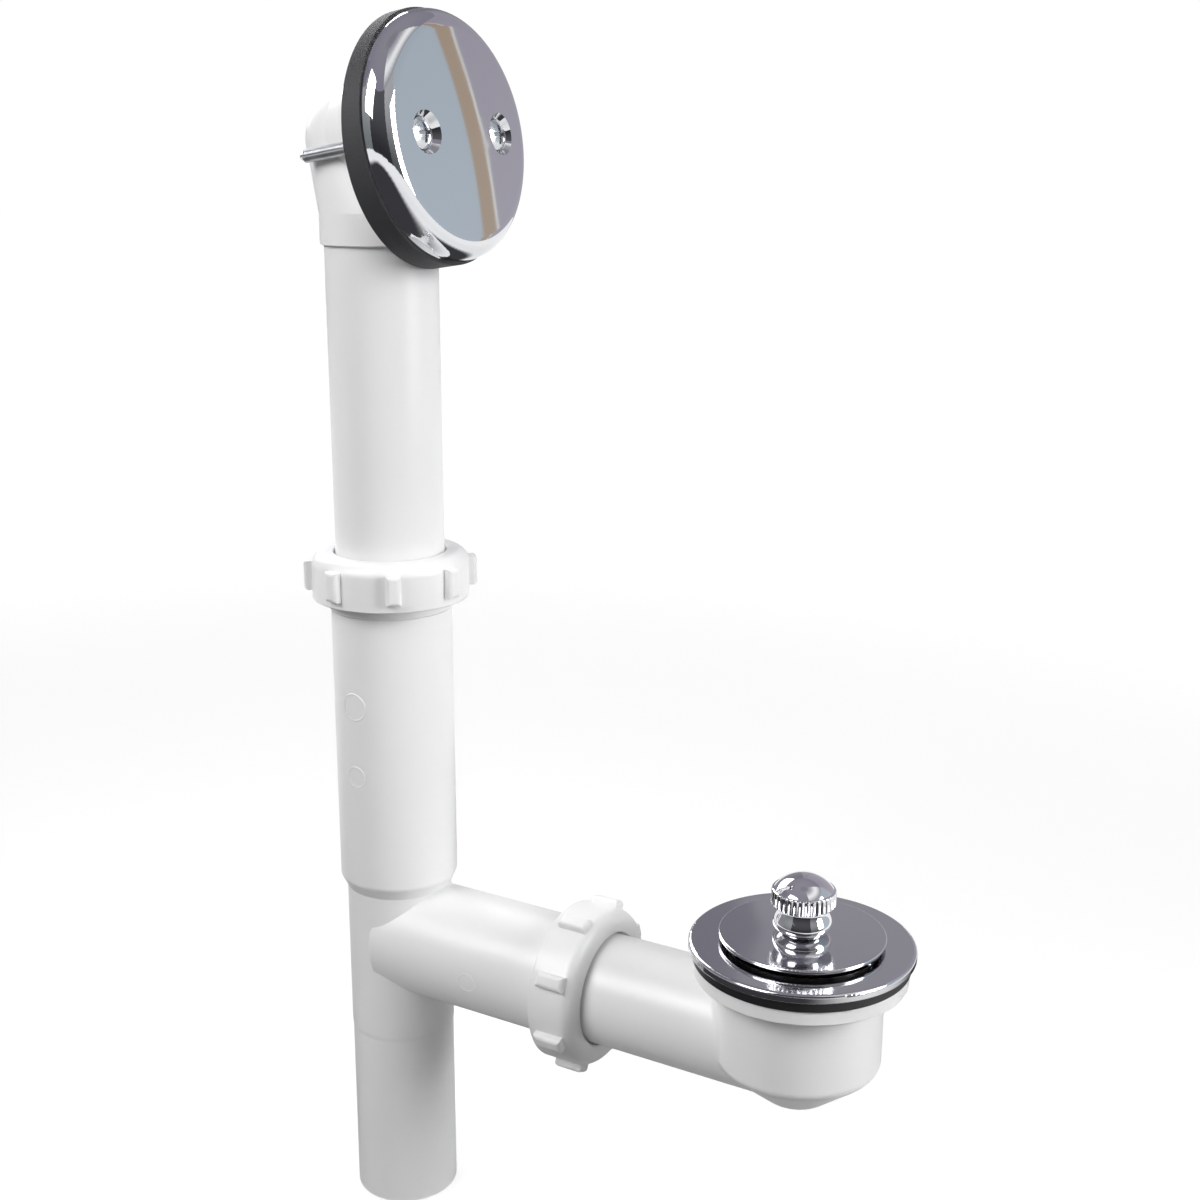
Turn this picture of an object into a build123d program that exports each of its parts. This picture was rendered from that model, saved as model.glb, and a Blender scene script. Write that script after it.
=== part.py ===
"""Bath waste and overflow: slip-jointed tube column, drain shoe and lift-and-turn stopper.

Millimetres, +Z up. The origin is the centre of the tailpiece's lower end, the column stands on
the Z axis and the branch to the drain runs along +X.
"""
import os
from math import atan, cos, degrees, radians, sin, sqrt

from build123d import *

# Tube and its sockets
tube_od = 38.1  # 1-1/2 in tubular
tube_wall = 1.7
slip_gap = 0.3  # radial room of a tube in a slip socket
grip_gap = 0.08  # radial room of a tube in its washer
weld_gap = 0.04  # radial room of a solvent-welded socket
edge_round = 0.5  # small rounding of an open edge

# Tee, measured from the branch axis
tail_length = 104.0  # branch axis down to the tailpiece's end
spigot_od = 37.6  # just under the tube, so that a trap's washer goes over it
spigot_length = 67.0
spigot_taper = 2.0
mouth_height = 141.5  # branch axis up to the tee's upper mouth
barrel_wall = 1.95
neck_height = 20.5  # lower end of the shoulder under the barrel
shoulder_height = 25.0
shoulder_round = 3.0
tube_stop_height = 33.0  # ledge under the overflow tube
branch_wall = 1.55
branch_mouth = 85.5
branch_stop = 31.0  # ledge behind the shoe's tube
mouth_bevel = 2.4  # seat of the tapered washer
corner_round = 2.0  # outside edge where the branch ends on the column

# Slip nut and washer
thread_rise = 2.2  # thread above the barrel
thread_length = 12.5
collar_rise = 0.7  # ring under the upper thread
collar_length = 3.6
thread_gap = 0.25
nut_wall = 3.75
nut_height = 16.4
nut_web = 2.0
nut_hole_gap = 0.65
nut_shoulder = 4.6  # rounding of the nut's outer shoulder
washer_proud = 2.5  # part of the washer that stands above the mouth
washer_gap = 0.6  # washer inside the thread's crest
lug_count = 8
lug_rise = 2.7
lug_root = 1.5  # part of a lug that is sunk in the nut
lug_width = 5.2
lug_height = 10.4
lug_round = 1.4
upper_nut_turn = -6.0  # where the nuts happened to be tightened
branch_nut_turn = 20.0

# Overflow tube, above the branch axis
tube_bottom = 52.0
elbow_rise = 23.0  # tube's top up to the centre of the elbow's face

# Overflow elbow
elbow_wall = 2.2
socket_wall = 1.25
socket_depth = 10.5
elbow_height = 284.0  # centre of the face above the branch axis
elbow_set_back = 7.4  # how far the elbow leans behind the column
elbow_back_r = 18.0
elbow_front_r = 25.0
face_reach = 17.6  # centre of the face in front of the column
face_tilt = 5.5
face_od = 66.0
face_thick = 4.5

# Overflow gasket and plate
gasket_od = 81.0
gasket_hole = 55.0
gasket_thin = 5.0
gasket_thick = 9.5
plate_od = 79.4  # 3-1/8 in
plate_rise = 10.8
plate_edge = 8.6  # height of the edge before it is rounded
plate_round = 7.4
plate_sheet = 0.9
notch_width = 30.0  # inlet at the bottom of the rim
notch_depth = 4.2

# Overflow screws
screw_spacing = 41.3  # 1-5/8 in
screw_d = 4.0
screw_hole_gap = 0.25
screw_reach = 40.5  # from the plate's rim back to the tip
head_d = 10.0
head_cone = 2.8
head_dome = 1.5
head_slot = 1.2
tip_taper = 0.9
tip_length = 2.0
dimple_d = 13.6
dimple_depth = 1.9
boss_d = 9.0
boss_length = 10.0

# Drain shoe, heights above the branch axis
drain_x = 161.0
shoe_inner_end = 46.0
cup_od = 54.0
cup_drop = 0.5  # cup's floor under the tube
cup_wall_low = -4.5  # lower end of the upright wall
cup_floor_d = 18.0
cup_floor_round = 10.0
cup_round = 4.0
junction_round = 3.0  # where the tube runs into the cup
lip_od = 69.0
lip_bottom = 25.3
lip_thick = 5.0
throat_thread_od = 45.9
lip_fillet = 1.6

# Drain flange
shoe_gasket_od = 70.0
shoe_gasket_thick = 3.4
flange_od = 73.0  # 2-7/8 in
flange_thick = 3.0
flange_round = 1.1
throat_bore = 40.0
throat_length = 29.0
seat_d = 51.0
seat_depth = 3.2
seat_round = 1.2
bar_width = 3.6
bar_height = 5.0
hub_d = 13.0

# Stopper
lift = 9.5
disc_od = 53.6
disc_thick = 1.7
disc_crown = 0.35
disc_gap = 1.7  # closed disc above the flange
disc_boss_d = 12.0
disc_boss = 6.2
seal_od = 47.0
seal_plug_d = 38.4
seal_rim = 1.9
seal_taper = 2.0
seal_short = 0.6  # boss left bare under the seal
post_d = 5.2
post_gap = 0.08
post_below_pin = 5.0
pin_d = 2.4
pin_length = 7.6
pin_room = 0.35
guide_d = 11.0
guide_bore = 8.4
guide_stud_d = 6.0
guide_room = 2.2  # guide's top below the closed clip
clip_od = 9.4
clip_thick = 0.8

# Knob
knob_gap = 0.1
knob_base_d = 15.6
knob_bulge_d = 20.0
knob_neck_d = 15.4
knob_neck_height = 7.6
knob_head_d = 21.0
knob_head_height = 5.2
knob_dome = 6.2
knob_step = 0.7  # neck edge under the head, and chamfer over it
knob_chamfer = 1.0
knob_socket = 12.0  # how far the post goes up into the knob
flute_count = 36
flute_depth = 0.55
set_screw_d = 3.0
set_screw_height = 3.6
set_screw_proud = 0.9  # beyond the neck's radius, still inside the bulge

# Derived sizes
tube_r = tube_od / 2
bore_r = tube_r - tube_wall
socket_r = tube_r + slip_gap
axis_z = tail_length  # height of the branch axis
barrel_od = 2 * (socket_r + barrel_wall)
branch_od = 2 * (socket_r + branch_wall)
thread_od = barrel_od + 2 * thread_rise
nut_od = thread_od + 2 * (thread_gap + nut_wall)
lug_span = nut_od + 2 * lug_rise
tube_top = elbow_height - elbow_rise
seat_slope = degrees(atan((gasket_thick - gasket_thin) / gasket_od))
plate_tilt = face_tilt + seat_slope
gasket_mid = (gasket_thin + gasket_thick) / 2


def turned(*corners):
    """Solid turned about Z from (radius, height) corners, each with an optional rounding."""
    rounding = [c[2] if len(c) == 3 else 0 for c in corners]
    outline = FilletPolyline(*[c[:2] for c in corners], radius=rounding, close=True)
    return revolve(Plane.XZ * make_face(outline), Axis.Z)


def cap(radius, rise, low=0.0):
    """Arc from a radius up to the axis, part of a ball centred on the axis."""
    ball = (radius**2 + rise**2) / (2 * rise)
    half = radius / 2
    return ThreePointArc((radius, low), (half, low + rise - ball + sqrt(ball**2 - half**2)), (0, low + rise))


def tilted(tilt, origin):
    """Plane that looks along +X, tipped up by the tilt, with its own Y axis upwards."""
    return Plane(origin, x_dir=(0, 1, 0), z_dir=(cos(radians(tilt)), 0, sin(radians(tilt))))


def along_x(shape, x=0.0, z=axis_z):
    """Lays a shape that was made about Z along the branch."""
    return Pos(x, 0, z) * Rot(0, 90, 0) * shape


def socket(length, stop):
    """Bore of a slip socket, its mouth at height length and its tube ledge at height stop."""
    return turned(
        (0, 0), (bore_r, 0), (bore_r, stop), (socket_r, stop), (socket_r, length - mouth_bevel),
        (socket_r + mouth_bevel, length), (0, length),
    )


def slip_nut():
    """Hand nut about Z: the tee's mouth is at height 0 and the hole faces up."""
    top = washer_proud + nut_web
    low = top - nut_height
    outer, thread, hole = nut_od / 2, thread_od / 2 + thread_gap, tube_r + nut_hole_gap
    nut = turned(
        (thread, low), (outer, low, edge_round), (outer, top, nut_shoulder),
        (hole, top, edge_round), (hole, top - nut_web), (thread, top - nut_web),
    )
    lug_depth = lug_rise + lug_root
    lug = fillet(Box(lug_depth, lug_width, lug_height).edges().group_by(Axis.X)[-1], lug_round)
    for place in PolarLocations(lug_span / 2 - lug_depth / 2, lug_count):
        nut += Pos(0, 0, (top + low) / 2) * place * lug
    return nut


def slip_washer():
    """Tapered washer that the nut squeezes into the bevel of the mouth."""
    inner, outer = tube_r + grip_gap, thread_od / 2 - washer_gap
    tip = socket_r - inner
    return turned(
        (inner, -mouth_bevel), (inner + tip, -mouth_bevel), (inner + tip + mouth_bevel, 0),
        (outer, 0), (outer, washer_proud, edge_round), (inner, washer_proud),
    )


def waste_tee():
    """Tee with its tailpiece, one moulding."""
    spigot_r, barrel_r, thread_r = spigot_od / 2, barrel_od / 2, thread_od / 2
    collar_r = barrel_r + collar_rise
    mouth = axis_z + mouth_height
    thread_low = mouth - thread_length
    column = turned(
        (0, 0), (spigot_r, 0), (spigot_r, spigot_length), (tube_r, spigot_length + spigot_taper),
        (tube_r, axis_z + neck_height), (barrel_r, axis_z + shoulder_height, shoulder_round),
        (barrel_r, thread_low - collar_length), (collar_r, thread_low - collar_length + collar_rise),
        (collar_r, thread_low), (thread_r, thread_low), (thread_r, mouth, edge_round), (0, mouth),
    )
    branch_r = branch_od / 2
    branch = turned(
        (0, 0), (branch_r, 0, corner_round), (branch_r, branch_mouth - thread_length),
        (thread_r, branch_mouth - thread_length), (thread_r, branch_mouth, edge_round), (0, branch_mouth),
    )
    tee = column + along_x(branch)
    tee -= socket(mouth, axis_z + tube_stop_height)
    return tee - along_x(socket(branch_mouth, branch_stop))


def overflow_tube():
    low, top = axis_z + tube_bottom, axis_z + tube_top
    return turned((bore_r, low), (tube_r, low, edge_round), (tube_r, top), (bore_r, top))


face_plane = tilted(face_tilt, (face_reach, 0, axis_z + elbow_height))
plate_plane = tilted(plate_tilt, face_plane.origin + face_plane.z_dir * gasket_mid)


def elbow_form(shrink, start_r, front_r):
    """Inside or outside of the elbow's body above its socket."""
    low = Plane.XY.offset(axis_z + tube_top)
    middle = Pos(-elbow_set_back, 0, axis_z + elbow_height)
    radius = elbow_back_r - shrink
    rising = loft([low * Circle(start_r), middle * Circle(radius)])
    level = tilted(face_tilt, middle.position)
    run = (face_plane.origin - level.origin).dot(level.z_dir)
    forward = loft([level * Circle(radius), level.offset(run) * Circle(front_r)])
    return rising + middle * Sphere(radius) + forward


def overflow_elbow():
    """Moulded elbow: socket, leaning body, face flange and two screw bosses."""
    socket_top = axis_z + tube_top
    socket_low = socket_top - socket_depth
    socket_in = tube_r + weld_gap
    socket_out = socket_in + socket_wall
    elbow = elbow_form(0, socket_out, elbow_front_r)
    elbow += turned(
        (0, socket_low), (socket_out, socket_low, edge_round), (socket_out, socket_top), (0, socket_top)
    )
    elbow += face_plane * Pos(0, 0, -face_thick / 2) * Cylinder(face_od / 2, face_thick)
    boss = Pos(0, 0, -boss_length / 2 - gasket_mid) * Cylinder(boss_d / 2, boss_length)
    hole = Pos(0, 0, -screw_reach / 2) * Cylinder(screw_d / 2 + screw_hole_gap, 2 * screw_reach)
    sides = [Pos(x, 0, 0) for x in (-screw_spacing / 2, screw_spacing / 2)]
    front = face_plane * Pos(0, 0, face_od / 2) * Cylinder(face_od, face_od)
    elbow += [plate_plane * side * boss for side in sides]
    elbow -= front
    elbow -= elbow_form(elbow_wall, bore_r, elbow_back_r - elbow_wall)
    elbow -= turned((0, socket_low), (socket_in, socket_low), (socket_in, socket_top), (0, socket_top))
    return elbow - [plate_plane * side * hole for side in sides]


def overflow_gasket():
    """Foam wedge between the elbow's face and the plate's rim."""
    depth = gasket_thick * 3
    ring = Cylinder(gasket_od / 2, depth) - Cylinder(gasket_hole / 2, depth)
    behind = face_plane * Pos(0, 0, -depth) * Cylinder(gasket_od, 2 * depth)
    return plate_plane * Pos(0, 0, -depth / 2) * ring - behind


def plate_form(shrink):
    """Domed form about Z that stands on the rim's plane."""
    radius, rise, sag = plate_od / 2 - shrink, plate_rise - shrink, plate_rise - plate_edge
    bow = (radius**2 + sag**2) / (2 * sag)
    ball = Pos(0, 0, rise - bow) * Rot(90, 0, 0) * Sphere(bow)  # its poles lie away from the face
    form = Pos(0, 0, rise / 2) * Cylinder(radius, rise) & ball
    return fillet(form.edges().sort_by(Axis.Z)[-1], plate_round - shrink)


def plate_height(radius):
    """Height of the plate's outer face at a radius."""
    sag = plate_rise - plate_edge
    bow = ((plate_od / 2) ** 2 + sag**2) / (2 * sag)
    return plate_rise - bow + sqrt(bow**2 - radius**2)


head_seat = plate_height(screw_spacing / 2) - dimple_depth


def dimple(grow):
    """Form of a screw's dimple, at its true size or grown by the sheet."""
    hole_r, cone_r = screw_d / 2 + screw_hole_gap, head_d / 2 + screw_hole_gap
    low, face = head_seat - head_cone, head_seat + dimple_depth + 1
    mouth_r = dimple_d / 2 + (dimple_d / 2 - cone_r) / dimple_depth
    return turned(
        (0, low - grow), (hole_r + grow / 2, low - grow), (cone_r + grow, head_seat - grow / 2),
        (mouth_r + grow, face), (0, face),
    )


def overflow_plate():
    """Pressed plate: domed shell, dimpled screw seats and a notch in the lower rim."""
    sides = [Pos(x, 0, 0) * Rot(0, 0, 90) for x in (-screw_spacing / 2, screw_spacing / 2)]
    hole = Cylinder(screw_d / 2 + screw_hole_gap, 4 * plate_rise)
    outside, inside = plate_form(0), plate_form(plate_sheet)
    for side in sides:
        outside = outside - side * dimple(0) - side * hole
        inside = inside - side * dimple(plate_sheet)
    notch = Pos(0, -plate_od / 2, 0) * Box(notch_width, 4 * plate_sheet, 2 * notch_depth)
    return plate_plane * (outside - inside - notch)


def overflow_screw():
    """Oval-head screw about Z, the head's edge on its seat at height 0."""
    shank, edge = screw_d / 2, head_d / 2
    tip = -(head_seat + screw_reach)
    outline = make_face(
        [
            Polyline((0, head_dome), (0, tip), (shank - tip_taper, tip), (shank, tip + tip_length),
                     (shank, -head_cone), (edge, 0)),
            cap(edge, head_dome),
        ]
    )
    slot = Pos(0, 0, head_dome) * Box(head_d * 0.62, head_slot, 2 * head_dome)
    return revolve(Plane.XZ * outline, Axis.Z) - slot - Rot(0, 0, 90) * slot


def drain_shoe():
    """Shoe: tube, round-bottomed cup and lip, with a threaded throat open at the top."""
    cup_r, lip_r, throat_r = cup_od / 2, lip_od / 2, throat_thread_od / 2 + thread_gap
    floor, well_low = axis_z - tube_r - cup_drop, axis_z - bore_r - cup_drop
    wall_low, lip_low = axis_z + cup_wall_low, axis_z + lip_bottom
    lip_top = lip_low + lip_thick
    cup = turned(
        (0, floor), (cup_floor_d / 2, floor, cup_floor_round), (cup_r, wall_low, cup_round),
        (cup_r, lip_low, lip_fillet), (lip_r, lip_low, edge_round), (lip_r, lip_top, edge_round),
        (0, lip_top),
    )
    well = turned(
        (0, well_low), (cup_floor_d / 2, well_low), (throat_r, wall_low), (throat_r, lip_top), (0, lip_top),
    )
    length = drain_x - shoe_inner_end
    tube = along_x(turned((0, 0), (tube_r, 0, edge_round), (tube_r, length), (0, length)), shoe_inner_end)
    bore = along_x(turned((0, 0), (bore_r, 0), (bore_r, length), (0, length)), shoe_inner_end)
    shoe = Pos(drain_x, 0, 0) * cup + tube
    junction = [e for e in shoe.edges() if e.geom_type not in (GeomType.LINE, GeomType.CIRCLE)]
    return fillet(junction, junction_round) - bore - Pos(drain_x, 0, 0) * well


gasket_low = axis_z + lip_bottom + lip_thick
flange_low = gasket_low + shoe_gasket_thick
flange_top = flange_low + flange_thick
bar_low = flange_low - throat_length
bar_top = bar_low + bar_height
disc_low = flange_top + disc_gap
disc_top = disc_low + disc_thick
boss_low = disc_low - disc_boss
guide_top = boss_low - clip_thick - guide_room
collar_low = guide_top - (lift - pin_d - 2 * pin_room)
pin_z = collar_low - pin_room - pin_d / 2
post_low = pin_z - post_below_pin


def shoe_gasket():
    inner, outer = throat_thread_od / 2 + thread_gap, shoe_gasket_od / 2
    return turned((inner, gasket_low), (outer, gasket_low), (outer, flange_low), (inner, flange_low))


def drain_flange():
    """Chrome strainer body: flange, seat, threaded throat and a crossbar with a hub."""
    throat_r, thread_r, seat_r = throat_bore / 2, throat_thread_od / 2, seat_d / 2
    body = turned(
        (throat_r, bar_low), (thread_r, bar_low, edge_round), (thread_r, flange_low),
        (flange_od / 2, flange_low, edge_round), (flange_od / 2, flange_top, flange_round),
        (seat_r, flange_top, edge_round), (throat_r, flange_top - seat_depth, seat_round),
    )
    span = (throat_bore + throat_thread_od) / 2
    bars = Box(span, bar_width, bar_height) + Box(bar_width, span, bar_height)
    bars += Cylinder(hub_d / 2, bar_height)
    bars -= Cylinder(guide_stud_d / 2 + post_gap, bar_height)
    return body + Pos(0, 0, bar_low + bar_height / 2) * bars


def stopper_guide():
    """Sleeve with a bayonet collar at its top and a stud in the crossbar's hub."""
    outer, bore = guide_d / 2, guide_bore / 2
    stem = turned(
        (0, bar_low), (guide_stud_d / 2, bar_low, edge_round), (guide_stud_d / 2, bar_top), (outer, bar_top),
        (outer, guide_top, edge_round), (0, guide_top),
    )
    chamber_low = post_low - pin_room
    stem -= turned((0, chamber_low), (bore, chamber_low), (bore, collar_low), (0, collar_low))
    collar_r = post_d / 2 + post_gap
    stem -= turned((0, collar_low), (collar_r, collar_low), (collar_r, guide_top), (0, guide_top))
    collar = guide_top - collar_low
    slot = Box(2 * bore, pin_d + 2 * pin_room, collar)
    return stem - Pos(0, 0, collar_low + collar / 2) * slot


def stopper_disc():
    """Slightly crowned disc with a boss that carries the seal."""
    edge, boss, hole = disc_od / 2, disc_boss_d / 2, post_d / 2 + post_gap
    return turned(
        (hole, boss_low), (boss, boss_low, edge_round), (boss, disc_low), (edge, disc_low, edge_round),
        (edge, disc_top - disc_crown, edge_round), (knob_base_d / 2, disc_top), (hole, disc_top),
    )


def stopper_seal():
    """Rubber seal: a flat rim under the disc and a tapered plug in the seat."""
    hole, rim, plug = disc_boss_d / 2 + weld_gap, seal_od / 2, seal_plug_d / 2
    step = disc_low - seal_rim
    low = boss_low + seal_short
    return turned(
        (hole, low), (plug - seal_taper, low, seal_taper / 2), (plug, step - seal_short), (rim, step),
        (rim, disc_low), (hole, disc_low),
    )


def stopper_post():
    top = disc_top + knob_gap + knob_socket
    post = turned((0, post_low), (post_d / 2, post_low, edge_round), (post_d / 2, top), (0, top))
    return post - Pos(0, 0, pin_z) * Rot(0, 90, 0) * Cylinder(pin_d / 2 + weld_gap / 2, post_d * 2)


def stopper_pin():
    return Pos(0, 0, pin_z) * Rot(0, 90, 0) * Cylinder(pin_d / 2, pin_length)


def post_clip():
    top = boss_low - knob_gap
    inner, outer = post_d / 2 + weld_gap, clip_od / 2
    return turned((inner, top - clip_thick), (outer, top - clip_thick), (outer, top), (inner, top))


def stopper_knob():
    """Turned knob: bulged foot, neck, fluted head and a domed top."""
    low = disc_top + knob_gap
    head_low = low + knob_neck_height
    head_top = head_low + knob_head_height
    head_r, neck_r = knob_head_d / 2, knob_neck_d / 2
    foot_r, bulge_r = knob_base_d / 2, knob_bulge_d / 2
    side = Spline((foot_r, low), (bulge_r, low + knob_neck_height * 0.42), (neck_r, head_low - knob_step))
    crown = head_top + knob_step
    outline = make_face(
        [
            Line((0, low), (foot_r, low)),
            side,
            Polyline((neck_r, head_low - knob_step), (neck_r, head_low), (head_r - knob_step, head_low),
                     (head_r, head_low + knob_step), (head_r, head_top), (head_r - knob_chamfer, crown)),
            cap(head_r - knob_chamfer, knob_dome, crown),
            Line((0, crown + knob_dome), (0, low)),
        ]
    )
    knob = revolve(Plane.XZ * outline, Axis.Z)
    reach = head_r * sin(radians(180 / flute_count)) * 0.72
    rim = head_r + 2 * flute_depth
    groove = make_face(Polyline((head_r - flute_depth, 0), (rim, -reach * 2), (rim, reach * 2), close=True))
    flute = extrude(Pos(0, 0, head_low) * groove, knob_head_height)
    knob -= [Rot(0, 0, 360 * k / flute_count) * flute for k in range(flute_count)]
    bore, end = post_d / 2 + weld_gap, low + knob_socket + edge_round
    knob -= turned((0, low), (bore, low), (bore, end), (0, end))
    return knob - set_screw_form(weld_gap)


def set_screw_form(room):
    """Grub screw, from the post out to just under the knob's skin, on the far side."""
    inner = post_d / 2
    outer = knob_neck_d / 2 + set_screw_proud if not room else knob_bulge_d
    middle = Pos(0, (inner + outer) / 2, disc_top + knob_gap + set_screw_height)
    return middle * Rot(90, 0, 0) * Cylinder(set_screw_d / 2 + room, outer - inner)


def knob_set_screw():
    outer = knob_neck_d / 2 + set_screw_proud
    key = Box(set_screw_d / 5, set_screw_d / 2, set_screw_d)
    return set_screw_form(0) - Pos(0, outer, disc_top + knob_gap + set_screw_height) * key


at_drain = Pos(drain_x, 0, 0)
upper_joint = Pos(0, 0, axis_z + mouth_height)
screw_places = [plate_plane * Pos(x, 0, head_seat) for x in (-screw_spacing / 2, screw_spacing / 2)]

nodes = {
    "waste_tee": waste_tee(),
    "upper_slip_nut": upper_joint * Rot(0, 0, upper_nut_turn) * slip_nut(),
    "upper_slip_washer": upper_joint * slip_washer(),
    "branch_slip_nut": along_x(Rot(0, 0, branch_nut_turn) * slip_nut(), branch_mouth),
    "branch_slip_washer": along_x(slip_washer(), branch_mouth),
    "overflow_tube": overflow_tube(),
    "overflow_elbow": overflow_elbow(),
    "overflow_gasket": overflow_gasket(),
    "overflow_plate": overflow_plate(),
    "overflow_screws": Compound([place * overflow_screw() for place in screw_places]),
    "drain_shoe": drain_shoe(),
    "shoe_gasket": at_drain * shoe_gasket(),
    "drain_flange": at_drain * drain_flange(),
    "stopper_guide": at_drain * stopper_guide(),
    "stopper_disc": at_drain * stopper_disc(),
    "stopper_seal": at_drain * stopper_seal(),
    "stopper_post": at_drain * stopper_post(),
    "stopper_pin": at_drain * stopper_pin(),
    "post_clip": at_drain * post_clip(),
    "stopper_knob": at_drain * stopper_knob(),
    "knob_set_screw": at_drain * knob_set_screw(),
}

os.makedirs("parts", exist_ok=True)
for name, shape in nodes.items():
    export_step(shape, f"parts/{name}.step")
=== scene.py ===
# %% [markdown]
# # A bath waste and overflow
#
# The solids already have their true sizes, so this lesson is about looks: the camera of the
# photograph, soft studio light, one procedural finish for each real material, and Geometry Nodes for
# the details that follow a rule, such as screw threads.

# %% The frame
import math

import bpy
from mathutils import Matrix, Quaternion, Vector


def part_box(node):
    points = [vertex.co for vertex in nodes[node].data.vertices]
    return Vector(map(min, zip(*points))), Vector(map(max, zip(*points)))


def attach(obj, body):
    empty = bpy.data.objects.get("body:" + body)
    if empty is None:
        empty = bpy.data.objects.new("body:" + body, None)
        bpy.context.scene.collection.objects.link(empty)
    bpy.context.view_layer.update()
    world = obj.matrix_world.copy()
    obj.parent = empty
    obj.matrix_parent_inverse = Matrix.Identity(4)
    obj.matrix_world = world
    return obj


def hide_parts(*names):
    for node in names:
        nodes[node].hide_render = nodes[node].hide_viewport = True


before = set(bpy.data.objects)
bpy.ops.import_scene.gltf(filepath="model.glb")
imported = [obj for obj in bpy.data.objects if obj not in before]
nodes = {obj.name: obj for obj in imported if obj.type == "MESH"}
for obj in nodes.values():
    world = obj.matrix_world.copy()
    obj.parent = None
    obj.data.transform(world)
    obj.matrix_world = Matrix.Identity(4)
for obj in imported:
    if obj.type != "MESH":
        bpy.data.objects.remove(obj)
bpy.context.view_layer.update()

# %% [markdown]
# ## Objects
#
# An object in Blender is a name and a place that hold some data: a mesh, a lamp or a camera. It shows only
# once it is linked to a collection, so two short functions do both steps at once.

# %% Objects
def add_object(name, data):
    """An object that holds the data, linked into the scene."""
    made = bpy.data.objects.new(name, data)
    bpy.context.collection.objects.link(made)
    return made


def add_mesh(name, corners, faces=()):
    """An object with a new mesh."""
    mesh = bpy.data.meshes.new(name)
    mesh.from_pydata(corners, [], faces)
    return add_object(name, mesh)


print("objects ready:", add_object.__name__, add_mesh.__name__)

# %% [markdown]
# ## Camera
#
# A camera can be matched by eye, or worked out from edges whose real shape is known. Here the column is
# a straight tube of known width and the branch is square to it, which fixes the direction, the distance
# and the lens. The camera stands a little below the top of the plate and looks down on the drain.

# %% Camera
image_side = 1200  # the photograph is square
focal_pixels = 1639.4
camera_roll = math.radians(0.281)
camera_data = bpy.data.cameras.new("camera")
camera_data.sensor_width = 36.0
camera_data.lens = focal_pixels / image_side * camera_data.sensor_width
camera_data.sensor_fit = "HORIZONTAL"
camera = add_object("camera", camera_data)
camera.location = (0.3461, -0.4474, 0.3819)
camera_aim = Vector((0.0637, 0.0372, 0.2316))
level_view = (camera_aim - camera.location).to_track_quat("-Z", "Y")
camera.rotation_euler = (level_view @ Quaternion((0, 0, 1), camera_roll)).to_euler()
bpy.context.scene.camera = camera
print("lens", round(camera_data.lens, 2), "distance", round((camera_aim - camera.location).length, 3))

# %% [markdown]
# ## Node trees in Python
#
# A finish is a small network of nodes, and so is a Geometry Nodes recipe. Wired by hand a network takes
# many clicks, and in code many lines. The first class holds one socket and answers to + - * / so that a
# mask can be written as a formula. The second makes any other node, with its options before its sockets.

# %% Values and trees
class Value:
    """One socket that can be used in a formula."""

    def __init__(self, tree, socket):
        self.tree, self.socket = tree, socket

    def maths(self, operation, first, second=0.0):
        return self.tree.node("ShaderNodeMath", {"operation": operation}, {0: first, 1: second})

    def __add__(self, other):
        return self.maths("ADD", self, other)

    def __sub__(self, other):
        return self.maths("SUBTRACT", self, other)

    def __rsub__(self, other):
        return self.maths("SUBTRACT", other, self)

    def __mul__(self, other):
        return self.maths("MULTIPLY", self, other)

    def __truediv__(self, other):
        return self.maths("DIVIDE", self, other)

    def sine(self):
        return self.maths("SINE", self)

    def cosine(self):
        return self.maths("COSINE", self)

    def ramp(self, low, high):
        """0 below low and 1 above high, with a soft rise between."""
        sockets = {"Value": self, "From Min": low, "From Max": high}
        return self.tree.node("ShaderNodeMapRange", {"interpolation_type": "SMOOTHSTEP"}, sockets)

    __radd__ = __add__


class Tree:
    """A node tree that is built one node at a time."""

    def __init__(self, tree):
        self.tree = tree

    def feed(self, socket, value):
        """Links a Value to a socket, or writes a plain number, vector or colour into it."""
        if isinstance(value, Value):
            self.tree.links.new(value.socket, socket)
        elif socket.type == "RGBA":
            socket.default_value = (*value, 1.0)
        else:
            socket.default_value = value

    def node(self, kind, settings=None, sockets=None, out=0):
        """Adds a node, its settings first, then its sockets, and gives one of its outputs."""
        made = self.tree.nodes.new(kind)
        for name, setting in (settings or {}).items():
            setattr(made, name, setting)
        for key, value in (sockets or {}).items():
            self.feed(made.inputs[key], value)
        return Value(self, made.outputs[out])

    def vector(self, x=0.0, y=0.0, z=0.0):
        return self.node("ShaderNodeCombineXYZ", None, {"X": x, "Y": y, "Z": z})

    def parts(self, vector, axes):
        """The values of a vector along the axes that are asked for."""
        return [self.node("ShaderNodeSeparateXYZ", None, {"Vector": vector}, out=axis) for axis in axes]


print("formulas ready:", Value.__name__, Tree.__name__)

# %% [markdown]
# ## A finish
#
# Every finish starts from the Principled shader and the object's own coordinates, so a pattern keeps its
# real size in metres and stays on the piece when it moves. Noise in metres needs large scales: at 700 a
# grain is about a millimetre and a half.

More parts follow.
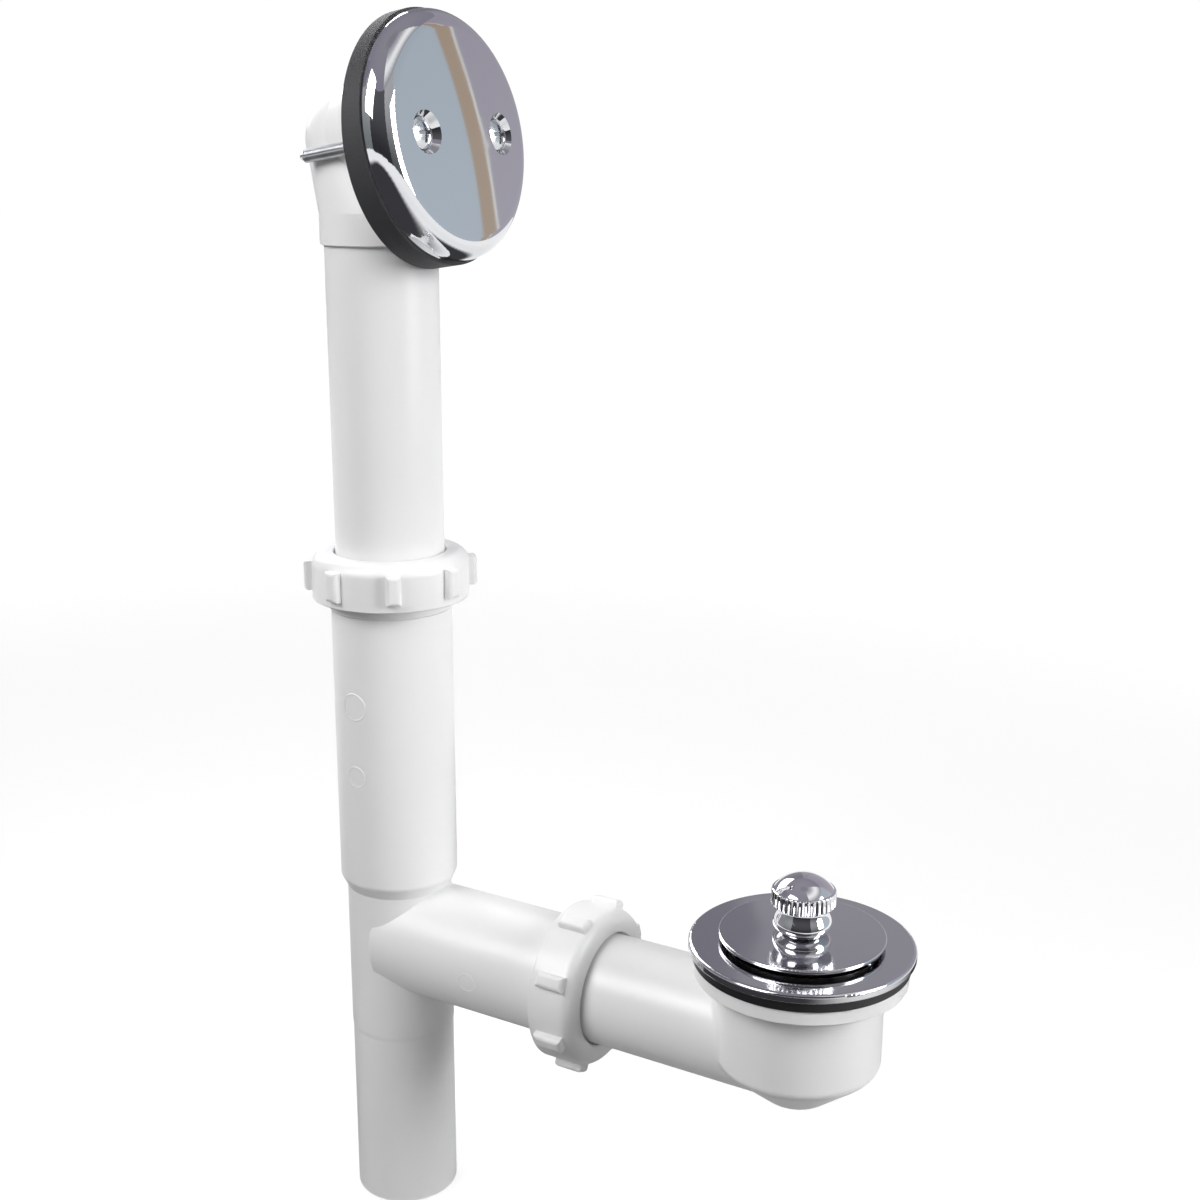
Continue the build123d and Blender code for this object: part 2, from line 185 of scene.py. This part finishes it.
# %% Finish
class Finish(Tree):
    """A procedural material on the Principled shader."""

    def __init__(self, name, colour):
        self.material = bpy.data.materials.new(name)
        self.material.use_nodes = True
        self.material.diffuse_color = (*colour, 1.0)
        super().__init__(self.material.node_tree)
        self.shader = self.tree.nodes["Principled BSDF"]
        self.set(Base_Color=colour)
        self.place = self.node("ShaderNodeTexCoord", out="Object")

    def set(self, **sockets):
        """Sets the shader's own sockets, with underscores for the spaces in their names."""
        for name, value in sockets.items():
            self.feed(self.shader.inputs[name.replace("_", " ")], value)

    def noise(self, scale, detail=3.0, stretch=(1.0, 1.0, 1.0)):
        place = self.node("ShaderNodeMapping", None, {"Vector": self.place, "Scale": stretch})
        return self.node("ShaderNodeTexNoise", None, {"Vector": place, "Scale": scale, "Detail": detail})

    def mix(self, factor, first, second):
        """A colour between two. A Mix node keeps its colours in inputs 6 and 7 and in output 2."""
        return self.node("ShaderNodeMix", {"data_type": "RGBA"}, {0: factor, 6: first, 7: second}, out=2)

    def bump(self, height, strength, distance):
        sockets = {"Height": height, "Strength": strength, "Distance": distance}
        self.set(Normal=self.node("ShaderNodeBump", None, sockets))

    def reach(self, x=0.0, y=0.0):
        """Distance in metres from the upright line through x and y."""
        sockets = {0: self.place, 1: (1.0, 1.0, 0.0), 2: (-x, -y, 0.0)}
        offset = self.node("ShaderNodeVectorMath", {"operation": "MULTIPLY_ADD"}, sockets)
        return self.node("ShaderNodeVectorMath", {"operation": "LENGTH"}, {0: offset}, out="Value")


print("finish ready:", Finish.__name__)

# %% [markdown]
# ## White plastic
#
# The overflow tube is extruded, so faint streaks run along it. The tee, shoe, elbow and nuts are moulded,
# and their skin has soft clouds and a fine orange peel instead. One function makes both, with the grain
# stretched along the tube or left round.

# %% White plastic
def white_plastic(name, tone, stretch):
    finish = Finish(name, (tone, tone, tone))
    clouds = finish.noise(26.0, detail=2.0)
    grain = finish.noise(700.0, detail=2.0, stretch=stretch)
    low, high = tone * 0.975, tone * 1.02
    colour = finish.mix(clouds, (low, low, low * 1.005), (high, high, high))
    finish.set(Base_Color=colour, Roughness=0.24 + clouds * 0.1 + grain * 0.06, IOR=1.53)
    finish.bump(grain, strength=0.05, distance=0.0004)
    return finish.material


extruded = white_plastic("extruded_white", tone=0.84, stretch=(1.0, 1.0, 0.02))
moulded = white_plastic("moulded_white", tone=0.86, stretch=(0.8, 0.8, 0.8))
print("white plastics:", extruded.name, moulded.name)

# %% [markdown]
# ## Chrome
#
# The overflow plate and the knob are polished and show the room like a mirror. The flange and the disc
# were turned before plating. Rings of noise about the drain's axis break up their roughness, and the
# shader's own anisotropy draws each reflection out across the rings.

# %% Chrome
drain_x = 0.161  # the drain stands this far along the branch
ring_scale = 2400.0  # turning marks about 0.4 mm apart


def polished(name, colour, low, wave_scale):
    finish = Finish(name, colour)
    haze = finish.noise(60.0)
    finish.set(Metallic=1.0, Roughness=low + haze * 0.05)
    finish.bump(finish.noise(wave_scale, detail=1.0), strength=0.02, distance=0.0004)
    return finish.material


def turned_chrome(name, colour, low, spread):
    finish = Finish(name, colour)
    across = finish.vector(x=finish.reach(x=drain_x) * ring_scale)
    rings = finish.node("ShaderNodeTexNoise", None, {"Vector": across, "Scale": 1.0, "Detail": 3.0})
    smear = finish.noise(35.0, detail=2.0)
    finish.set(Metallic=1.0, Anisotropic=0.4, Roughness=low + rings * spread + smear * 0.04)
    finish.bump(rings, strength=0.1, distance=0.00002)
    return finish.material


plate_chrome = polished("plate_chrome", (0.74, 0.75, 0.77), low=0.02, wave_scale=22.0)
knob_chrome = polished("knob_chrome", (0.80, 0.80, 0.82), low=0.03, wave_scale=120.0)
disc_chrome = turned_chrome("disc_chrome", (0.66, 0.66, 0.68), low=0.04, spread=0.05)
print("chromes:", plate_chrome.name, knob_chrome.name, disc_chrome.name)

# %% [markdown]
# ## Foam, rubber and the small metal pieces
#
# The wedge behind the plate is closed-cell foam: charcoal, dull and finely pitted. The ring under the
# flange and the stopper's seal are moulded rubber, smoother and blacker. Inside the drain the guide and
# the post are turned brass, and the pin, the clip and the screws are plated steel.

# %% Foam, rubber, brass and steel
def soft(name, colour, roughness, pit_scale, pit_depth):
    finish = Finish(name, colour)
    clouds = finish.noise(45.0)
    sockets = {"Vector": finish.place, "Scale": pit_scale}
    pits = finish.node("ShaderNodeTexVoronoi", None, sockets, out="Distance")
    darker, lighter = [tuple(c * gain for c in colour) for gain in (0.75, 1.3)]
    finish.set(Base_Color=finish.mix(clouds, darker, lighter), Roughness=roughness + pits * 0.1)
    finish.bump(pits, strength=0.2, distance=pit_depth)
    return finish.material


def turned_metal(name, colour, low):
    finish = Finish(name, colour)
    lines = finish.noise(3200.0, detail=2.0, stretch=(0.12, 0.12, 1.0))
    finish.set(Metallic=1.0, Roughness=low + lines * 0.16)
    finish.bump(lines, strength=0.1, distance=0.00005)
    return finish.material


foam = soft("charcoal_foam", (0.040, 0.041, 0.044), roughness=0.58, pit_scale=1500.0, pit_depth=0.0002)
rubber = soft("black_rubber", (0.010, 0.010, 0.011), roughness=0.42, pit_scale=2600.0, pit_depth=0.00005)
slip_ring = soft("slip_washer", (0.52, 0.53, 0.52), roughness=0.5, pit_scale=1800.0, pit_depth=0.00003)
brass = turned_metal("turned_brass", (0.70, 0.50, 0.20), low=0.2)
steel = turned_metal("plated_steel", (0.66, 0.67, 0.68), low=0.14)
print("other finishes:", foam.name, rubber.name, slip_ring.name, brass.name, steel.name)

# %% [markdown]
# ## Giving each piece its finish
#
# The list below reads like a bill of materials: which finish goes on which piece.

# %% Finishes on pieces
bill = {
    extruded: ["overflow_tube"],
    moulded: ["waste_tee", "upper_slip_nut", "branch_slip_nut", "overflow_elbow", "drain_shoe"],
    slip_ring: ["upper_slip_washer", "branch_slip_washer"],
    foam: ["overflow_gasket"],
    rubber: ["shoe_gasket", "stopper_seal"],
    plate_chrome: ["overflow_plate"],
    knob_chrome: ["stopper_knob"],
    disc_chrome: ["drain_flange", "stopper_disc"],
    steel: ["overflow_screws", "stopper_pin", "post_clip", "knob_set_screw"],
    brass: ["stopper_guide", "stopper_post"],
}
for finish, pieces in bill.items():
    for piece in pieces:
        nodes[piece].data.materials.clear()
        nodes[piece].data.materials.append(finish)
print("finished nodes:", sum(len(pieces) for pieces in bill.values()), "of", len(nodes))

# %% [markdown]
# ## Recipes that become meshes
#
# A Geometry Nodes modifier is a good way to make what repeats, but a finished part should carry plain
# meshes. The helper builds a tree with named inputs, runs it once on a carrier, copies the result and
# throws the carrier away. It then hands the piece to the body that it moves with. The carrier is empty,
# unless the recipe starts from the points of a profile.

# %% Recipe helper
def bake(name, recipe, inputs, finish, body, slot, profile=()):
    """Runs a recipe once and gives the mesh that it makes to a body."""
    group = bpy.data.node_groups.new(name, "GeometryNodeTree")
    group.interface.new_socket("Profile", in_out="INPUT", socket_type="NodeSocketGeometry")
    for label in inputs:
        group.interface.new_socket(label, in_out="INPUT", socket_type="NodeSocketFloat")
    group.interface.new_socket("Geometry", in_out="OUTPUT", socket_type="NodeSocketGeometry")
    tree = Tree(group)
    entry = group.nodes.new("NodeGroupInput")
    shape = recipe(tree, {label: Value(tree, entry.outputs[label]) for label in ("Profile", *inputs)})
    shape = tree.node("GeometryNodeRealizeInstances", None, {"Geometry": shape})
    shape = tree.node("GeometryNodeSetMaterial", None, {"Geometry": shape, "Material": finish})
    tree.feed(group.nodes.new("NodeGroupOutput").inputs["Geometry"], shape)

    carrier = add_mesh(name + "_carrier", [(radius, 0.0, height) for radius, height in profile])
    modifier = carrier.modifiers.new(name, "NODES")
    modifier.node_group = group
    for item in group.interface.items_tree:
        if item.in_out == "INPUT" and item.name in inputs:
            modifier[item.identifier] = float(inputs[item.name])
    evaluated = carrier.evaluated_get(bpy.context.evaluated_depsgraph_get())
    mesh = bpy.data.meshes.new_from_object(evaluated)
    bpy.data.objects.remove(carrier)
    mesh.name = name
    piece = add_object(name, mesh)
    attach(piece, body)
    print(name, len(mesh.polygons), "faces on", body)
    return piece


print("recipe helper ready:", bake.__name__)

# %% [markdown]
# ## Knob
#
# The knob is what a hand finds first: a bulged foot, a waist, a fluted head with a rolled rim and a low
# dome. It is a turned shape with a rule on top, so a recipe suits it. The profile is drawn once as radius
# and height, a grid takes one row for each point of the profile, and every row is bent into a circle. A
# cosine of the angle then cuts the flutes, and a round mask on the far side sinks the hole of the set screw.

# %% Knob profile
knob_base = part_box("stopper_knob")[0][2]  # height of the foot on the disc
foot_r, bulge_r, waist_r, head_r = 0.0072, 0.0096, 0.0077, 0.0104
bulge_height, head_low, rim_low, rim_roll, dome_rise = 0.0029, 0.0093, 0.0139, 0.0009, 0.0045
neck_run, bevel_width, bevel_height, rim_gap = 0.0005, 0.0006, 0.0005, 0.0003


def arc(centre, radius, first, last, count):
    """Points on a part of a circle, from the first to the last angle in degrees."""
    angles = [math.radians(first + (last - first) * k / count) for k in range(count + 1)]
    return [(centre[0] + radius * math.cos(a), centre[1] + radius * math.sin(a)) for a in angles]


def swell(start, end, count, phase):
    """Points on a cosine wave, either a whole swing or its second half."""
    points = []
    for k in range(1, count + 1):
        t = k / count
        lean = 0.5 - 0.5 * math.cos(math.pi * t) if phase == "whole" else math.sin(0.5 * math.pi * t)
        points.append((start[0] + (end[0] - start[0]) * lean, start[1] + (end[1] - start[1]) * t))
    return points


rim_r = head_r - rim_roll
dome_ball = (rim_r**2 + dome_rise**2) / (2 * dome_rise)
dome_edge = math.degrees(math.acos(rim_r / dome_ball))
dome_centre = rim_low + rim_roll + dome_rise - dome_ball
knob_profile = [(0.0, 0.0), (foot_r, 0.0)]
knob_profile += swell((foot_r, 0.0), (bulge_r, bulge_height), count=14, phase="half")
knob_profile += swell((bulge_r, bulge_height), (waist_r, head_low - neck_run), count=24, phase="whole")
knob_profile += [(waist_r, head_low), (head_r - bevel_width, head_low)]
knob_profile += [(head_r, head_low + bevel_height), (head_r, rim_low - rim_gap)]
knob_profile += arc((rim_r, rim_low), rim_roll, first=0.0, last=90.0, count=8)
knob_profile += arc((0.0, dome_centre), dome_ball, first=dome_edge, last=90.0, count=20)[1:]
print("knob profile", len(knob_profile), "points, height", round(knob_profile[-1][1] * 1000, 2), "mm")

# %% Knob
flute_count, steps_per_flute = 36, 10
head_mask = (head_r - 0.0002, head_r - 0.0001)  # the flutes begin between these radii
hole_floor_r, hole_edge_r = 0.00145, 0.0016
weld_gap = 0.00001
sharp_angle = math.radians(32.0)


def turned_knob(tree, inputs):
    rows = len(knob_profile)
    columns = flute_count * steps_per_flute + 1
    grid = tree.node("GeometryNodeMeshGrid", None, {
        "Size X": 1.0, "Size Y": 1.0, "Vertices X": columns, "Vertices Y": rows,
    })
    place = tree.node("GeometryNodeInputPosition")
    across, along = tree.parts(place, "XY")
    row = (along + 0.5) * (rows - 1.0) + 0.5  # an index drops its fraction, so the half rounds it
    point = tree.node("GeometryNodeSampleIndex", {"data_type": "FLOAT_VECTOR", "domain": "POINT"}, {
        "Geometry": inputs["Profile"], "Value": place, "Index": row,
    })
    radius, height = tree.parts(point, "XZ")
    angle = (across + 0.5) * (2.0 * math.pi)

    on_head = radius.ramp(*head_mask)
    flute = (0.5 - (angle * flute_count).cosine() * 0.5) * inputs["Flute Depth"]
    sideways = (angle - 0.5 * math.pi) * radius
    upwards = height - inputs["Hole Height"]
    hole = 1.0 - (sideways * sideways + upwards * upwards).ramp(hole_floor_r**2, hole_edge_r**2)
    radius = radius - on_head * flute - hole * (radius - inputs["Hole Floor"])

    bent = tree.vector(angle.cosine() * radius + drain_x, angle.sine() * radius, height + knob_base)
    knob = tree.node("GeometryNodeSetPosition", None, {"Geometry": grid, "Position": bent})
    knob = tree.node("GeometryNodeMergeByDistance", None, {"Geometry": knob, "Distance": weld_gap})
    knob = tree.node("GeometryNodeSetShadeSmooth", None, {"Geometry": knob, "Shade Smooth": True})
    sharp = tree.node("GeometryNodeInputMeshEdgeAngle") - sharp_angle
    return tree.node("GeometryNodeStoreNamedAttribute", {"data_type": "BOOLEAN", "domain": "EDGE"}, {
        "Geometry": knob, "Name": "sharp_edge", "Value": sharp,
    })


knob_sizes = {"Flute Depth": 0.0005, "Hole Height": 0.0036, "Hole Floor": 0.0078}
knob = bake("fluted_knob", turned_knob, knob_sizes, knob_chrome, "knob", "chrome", knob_profile)
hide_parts("stopper_knob")

# %% [markdown]
# ## Screw threads
#
# A thread is a helix, and a helix is a Spiral curve whose two radii are equal. A small round bead swept
# along it makes the ridge, and the shank of the solid is the core. The two screws are square to the
# plate's rim, which leans back a little, so the pair is tipped by the same angle.

# %% Screw threads
rim_tilt = math.radians(8.68)  # the plate's rim leans back from upright
rim_normal = Vector((math.cos(rim_tilt), 0.0, math.sin(rim_tilt)))
rim_centre = Vector((0.024817, 0.0, 0.388695))
thread_depth = 0.0388  # from the plane of the rim to the ends of the screws
thread_start = rim_centre - thread_depth * rim_normal
steps_per_turn, thread_sides = 28, 6


def sweep(tree, path, radius, sides, caps=False):
    """A round bead along a curve."""
    bead = tree.node("GeometryNodeCurvePrimitiveCircle", None, {"Resolution": sides, "Radius": radius})
    sockets = {"Curve": path, "Profile Curve": bead, "Fill Caps": caps}
    return tree.node("GeometryNodeCurveToMesh", None, sockets)


def two_threads(tree, inputs):
    turns = inputs["Length"] / inputs["Pitch"]
    helix = tree.node("GeometryNodeCurveSpiral", None, {
        "Resolution": steps_per_turn, "Rotations": turns, "Start Radius": inputs["Core"],
        "End Radius": inputs["Core"], "Height": inputs["Length"],
    })
    thread = sweep(tree, helix, inputs["Ridge"], thread_sides, caps=True)
    first = tree.vector(thread_start.x, inputs["Spacing"] * -0.5, thread_start.z)
    step = tree.vector(y=inputs["Spacing"])
    pair = tree.node("GeometryNodeMeshLine", None, {"Count": 2, "Start Location": first, "Offset": step})
    return tree.node("GeometryNodeInstanceOnPoints", None, {
        "Points": pair, "Instance": thread, "Rotation": (0.0, math.pi / 2 - rim_tilt, 0.0),
    })


thread_sizes = {"Length": 0.0205, "Pitch": 0.00079, "Core": 0.00198, "Ridge": 0.0002, "Spacing": 0.0413}
bake("screw_threads", two_threads, thread_sizes, steel, "overflow", "screw_steel")

# %% [markdown]
# ## Moulding rings
#
# The barrel has two plain raised rings where inserts of the mould sat, and the branch has a small gate
# mark. On a flat wall each would be a circle. Here the circle is wrapped round the pipe: its width becomes
# an angle, and sine and cosine turn the angle into a place on the cylinder.

# %% Moulding rings
ring_steps, ring_sides = 72, 8
branch_height = 0.104


def wrapped_ring(tree, inputs):
    pipe = inputs["Pipe"]
    sockets = {"Resolution": ring_steps, "Radius": inputs["Radius"]}
    circle = tree.node("GeometryNodeCurvePrimitiveCircle", None, sockets)
    across, along = tree.parts(tree.node("GeometryNodeInputPosition"), "XY")
    angle = across / pipe + inputs["Turn"]
    on_pipe = tree.vector(angle.sine() * pipe, angle.cosine() * pipe * -1.0, along + inputs["Along"])
    bent = tree.node("GeometryNodeSetPosition", None, {"Geometry": circle, "Position": on_pipe})
    return sweep(tree, bent, inputs["Ridge"], ring_sides)


def laid_ring(tree, inputs):
    """The same ring on a pipe along X."""
    ring = wrapped_ring(tree, inputs)
    lay = {"Geometry": ring, "Rotation": (0.0, math.pi / 2, 0.0), "Translation": (0.0, 0.0, branch_height)}
    return tree.node("GeometryNodeTransform", None, lay)


barrel = {"Pipe": 0.02126, "Turn": math.radians(-4.0), "Ridge": 0.0003}
branch = {"Pipe": 0.02086, "Turn": math.radians(2.6), "Ridge": 0.00025}
rings = [
    ("upper_mould_ring", wrapped_ring, {**barrel, "Radius": 0.0048, "Along": 0.197}),
    ("lower_mould_ring", wrapped_ring, {**barrel, "Radius": 0.0037, "Along": 0.171}),
    ("gate_mark", laid_ring, {**branch, "Radius": 0.0033, "Along": 0.044}),
]
for name, recipe, sizes in rings:
    bake(name, recipe, sizes, moulded, "tee", "white_plastic")

# %% [markdown]
# ## Floor
#
# The photograph is on plain white. The floor gets a little emission that only the camera, mirrors and clear
# things see, so it reads as white and throws no extra light on the part. Near the part it glows less, which
# leaves room for the soft shadow under the tail.

# %% Floor
half, floor_drop = 9.0, 0.0005
floor_corners = [(-half, -half, 0), (half, -half, 0), (half, half, 0), (-half, half, 0)]
floor = add_mesh("floor", floor_corners, [(0, 1, 2, 3)])
floor.location.z = -floor_drop


def seen_rays(tree):
    """1 for the rays that should see a white background, 0 for those that carry light."""
    rays = ("Is Camera Ray", "Is Glossy Ray", "Is Transmission Ray")
    camera_ray, glossy_ray, clear_ray = [tree.node("ShaderNodeLightPath", out=ray) for ray in rays]
    return (camera_ray + glossy_ray + clear_ray).ramp(0.0, 1.0)


pale = Finish("pale_floor", (0.32, 0.32, 0.32))
near_glow, far_glow = (0.76, 0.76, 0.76), (0.97, 0.97, 0.97)
glow = pale.mix(pale.reach().ramp(0.25, 1.4), near_glow, far_glow)
pale.set(Roughness=0.9, Specular_IOR_Level=0.0, Emission_Color=glow, Emission_Strength=seen_rays(pale))
floor.data.materials.append(pale.material)
print("floor", [round(v, 3) for v in floor.dimensions])

# %% [markdown]
# ## World and lamps
#
# The world is white to the eye and in mirrors, and a quiet fill for everything else. A tall lamp on the
# right gives the column and the cup their bright flanks. A larger one on the left opens the shadows and
# lets the light fall off towards the tail, and a weak one behind keeps the back from going grey.

# %% World and lamps
world = bpy.data.worlds.new("studio")
bpy.context.scene.world = world
world.use_nodes = True
sky = Tree(world.node_tree)
fill_level = 0.25
background = world.node_tree.nodes["Background"]
sky.feed(background.inputs["Color"], (1.0, 1.0, 1.0))
sky.feed(background.inputs["Strength"], seen_rays(sky) * (1.0 - fill_level) + fill_level)


def softbox(name, place, aim, width, height, power, spread):
    """A rectangular lamp, with its power in watts and its spread in degrees."""
    lamp = bpy.data.lights.new(name, "AREA")
    lamp.shape, lamp.size, lamp.size_y, lamp.energy = "RECTANGLE", width, height, power
    lamp.spread = math.radians(spread)
    box = add_object(name, lamp)
    box.location = place
    box.rotation_euler = (Vector(aim) - box.location).to_track_quat("-Z", "Y").to_euler()
    return box


lamps = [
    softbox("key", (0.95, 0.12, 0.54), (0.08, 0.0, 0.24), width=0.35, height=0.6, power=1.15, spread=60.0),
    softbox("fill", (-0.32, -0.88, 1.05), (0.04, 0.0, 0.38), width=0.7, height=0.7, power=1.9, spread=62.0),
    softbox("back", (-0.85, 0.52, 0.80), (0.04, 0.0, 0.25), width=0.6, height=0.6, power=1.0, spread=60.0),
]
print("lamps:", [lamp.name for lamp in lamps])

# %% [markdown]
# ## Reflection cards
#
# Chrome has no colour of its own: it shows the room. A studio hangs cards round a mirror to shape what it
# shows. Each card here is a patch of a large ball, given by its bearings and heights in degrees as seen
# from the part, and its colour runs from one tone at its foot to another at its head. Only glossy rays see
# the cards, so they show in what is shiny and cast no light.

# %% Reflection cards
card_x, card_z, card_reach = 0.1, 0.25, 2.4  # centre and radius of the ball
card_steps = 48
floor_gap = 0.004


def hang(name, corners, faces, paint):
    """A glowing panel that only glossy rays see."""
    panel = add_mesh(name, corners, faces)
    paint.set(Emission_Strength=1.0, Specular_IOR_Level=0.0)
    panel.data.materials.append(paint.material)
    for ray in ("camera", "diffuse", "transmission", "volume_scatter", "shadow"):
        setattr(panel, "visible_" + ray, False)
    return panel


def spaced(ends):
    """Even steps from one end of a range to the other."""
    return [ends[0] + (ends[1] - ends[0]) * k / card_steps for k in range(card_steps + 1)]


def rise(height):
    """How far above the floor the ball is at a height in degrees."""
    return card_z + card_reach * math.sin(math.radians(height))


def card(name, bearings, heights, low_colour, high_colour):
    corners = []
    for height in spaced(heights):
        ring = card_reach * math.cos(math.radians(height))
        for bearing in map(math.radians, spaced(bearings)):
            x, y = card_x + ring * math.cos(bearing), ring * math.sin(bearing)
            corners.append((x, y, max(rise(height), floor_gap)))
    row = card_steps + 1
    starts = [k * row + j for k in range(card_steps) for j in range(card_steps)]
    faces = [(a, a + 1, a + row + 1, a + row) for a in starts]
    paint = Finish(name, (0.0, 0.0, 0.0))
    level = paint.parts(paint.place, "Z")[0].ramp(rise(heights[0]), rise(heights[1]))
    paint.set(Emission_Color=paint.mix(level, low_colour, high_colour))
    return hang(name, corners, faces, paint)


cards = [
    card("blue_grey_card", (12, 58), (-5, 45), (0.52, 0.58, 0.64), (0.44, 0.50, 0.56)),
    card("tan_card", (58, 61.2), (-5, 45), (0.48, 0.39, 0.31), (0.42, 0.32, 0.24)),
    card("edge_card", (61.2, 61.8), (-5, 45), (0.80, 0.80, 0.78), (0.70, 0.70, 0.68)),
    card("lilac_card", (61.8, 104), (-5, 45), (0.46, 0.44, 0.50), (0.36, 0.34, 0.40)),
    card("grey_card", (104, 114), (-5, 45), (0.42, 0.41, 0.45), (0.32, 0.31, 0.35)),
    card("slate_card", (114, 215), (-5, 45), (0.30, 0.29, 0.33), (0.22, 0.21, 0.25)),
    card("left_card", (215, 250), (-5, 45), (0.20, 0.22, 0.22), (0.42, 0.42, 0.44)),
    card("room_card", (-34, 12), (-5, 45), (0.10, 0.11, 0.11), (0.46, 0.46, 0.47)),
    card("dark_card", (-110, -34), (-6, 45), (0.03, 0.03, 0.035), (0.10, 0.10, 0.11)),
    card("window_card", (-40, 56), (45, 60), (0.36, 0.36, 0.39), (1.0, 1.0, 1.0)),
    card("high_window_card", (-40, 56), (60, 78), (1.0, 1.0, 1.0), (0.40, 0.39, 0.43)),
    card("wall_card", (56, 320), (45, 78), (0.27, 0.25, 0.31), (0.30, 0.29, 0.33)),
    card("ceiling_card", (-180, 180), (78, 90), (0.30, 0.29, 0.33), (0.26, 0.25, 0.29)),
]
print("cards:", [panel.name for panel in cards])

# %% [markdown]
# ## Dark mats
#
# The underside of the plate's rim and the faces of the knob look down at the floor. Two round mats, again
# seen by glossy rays alone, give them something dark to show. Each fades to the white of the floor.

# %% Dark mats
mat_sides = 48
fade_start = 0.65  # share of the radius where the dark begins to fade
mat_dark, mat_white = (0.05, 0.05, 0.055), (1.0, 1.0, 1.0)


def mat(name, centre, radius, height):
    edge = arc(centre, radius, first=0.0, last=360.0, count=mat_sides)[1:]
    paint = Finish(name, (0.0, 0.0, 0.0))
    fade = paint.reach(*centre).ramp(radius * fade_start, radius)
    paint.set(Emission_Color=paint.mix(fade, mat_dark, mat_white))
    return hang(name, [(x, y, height) for x, y in edge], [tuple(range(mat_sides))], paint)


mats = [
    mat("foot_mat", (0.0, 0.10), radius=0.45, height=0.001),
    mat("front_mat", (-0.15, -0.55), radius=0.80, height=0.002),
]
print("mats:", [panel.name for panel in mats])

# %% [markdown]
# ## Finish
#
# The last step sets the scene's view transform to Standard.

# %% Close
bpy.context.scene.view_settings.view_transform = "Standard"
